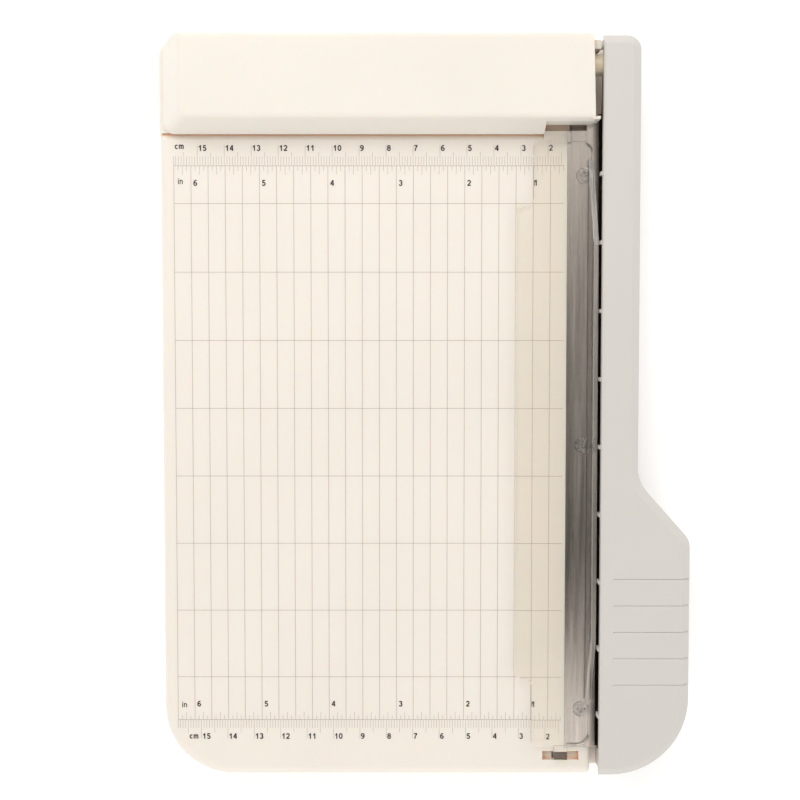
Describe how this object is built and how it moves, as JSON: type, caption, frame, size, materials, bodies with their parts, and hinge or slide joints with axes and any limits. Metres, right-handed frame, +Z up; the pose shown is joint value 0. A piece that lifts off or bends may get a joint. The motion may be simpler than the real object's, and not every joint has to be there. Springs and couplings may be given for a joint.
{
  "type": "guillotine_paper_cutter",
  "caption": "A5-size guillotine paper cutter: cream plastic base with printed rulers and grid, steel cutting strip, clear finger guard and a hinged grey arm that holds the moving blade.",
  "frame": {"origin": "The centre of the footprint's bounding box, at table height.", "axes": "+X to the right, towards the cutting arm; +Y to the hinge end at the rear; +Z up from the table."},
  "size_m": [0.1966, 0.276, 0.031],
  "materials": {
    "cream_plastic": "satin moulded",
    "grey_plastic": "satin moulded",
    "beige_plastic": "gloss moulded",
    "clear_plastic": "clear polished",
    "blade_steel": "fine brushed",
    "blackened_steel": "black oxide, with a ground cutting land",
    "plated_steel": "bright zinc plate",
    "black_rubber": "matte"
  },
  "bodies": {
    "base": {"arm_bumper": "black_rubber", "base_board": "cream_plastic", "bracket_screws": "plated_steel", "bracket_washer": "plated_steel", "cutting_strip": "blade_steel", "foot_front_left": "black_rubber", "foot_front_right": "black_rubber", "foot_middle_left": "black_rubber", "foot_middle_right": "black_rubber", "foot_rear_left": "black_rubber", "foot_rear_right": "black_rubber", "header_cover": "cream_plastic", "header_screws": "plated_steel", "hinge_bracket": "plated_steel", "lock_nut": "plated_steel", "nut_washer": "plated_steel", "pivot_bolt": "plated_steel", "pivot_spacer": "beige_plastic", "pivot_spring": "blade_steel", "strip_screws": "plated_steel"},
    "arm": {"arm_base_plate": "grey_plastic", "arm_cover": "grey_plastic", "arm_screws": "plated_steel", "blade_screws": "plated_steel", "moving_blade": "blackened_steel"},
    "guard": {"clear_guard": "clear_plastic"}
  },
  "joints": [
    {"name": "arm_hinge", "type": "hinge", "parent": "base", "child": "arm", "pos_m": [0.0657, 0.127, 0.023], "axis": [-1, 0, 0], "range_deg": [0, 65]},
    {"name": "guard_lift", "type": "slide", "parent": "base", "child": "guard", "axis": [0, 0, 1], "range_m": [0, 0.002]}
  ]
}
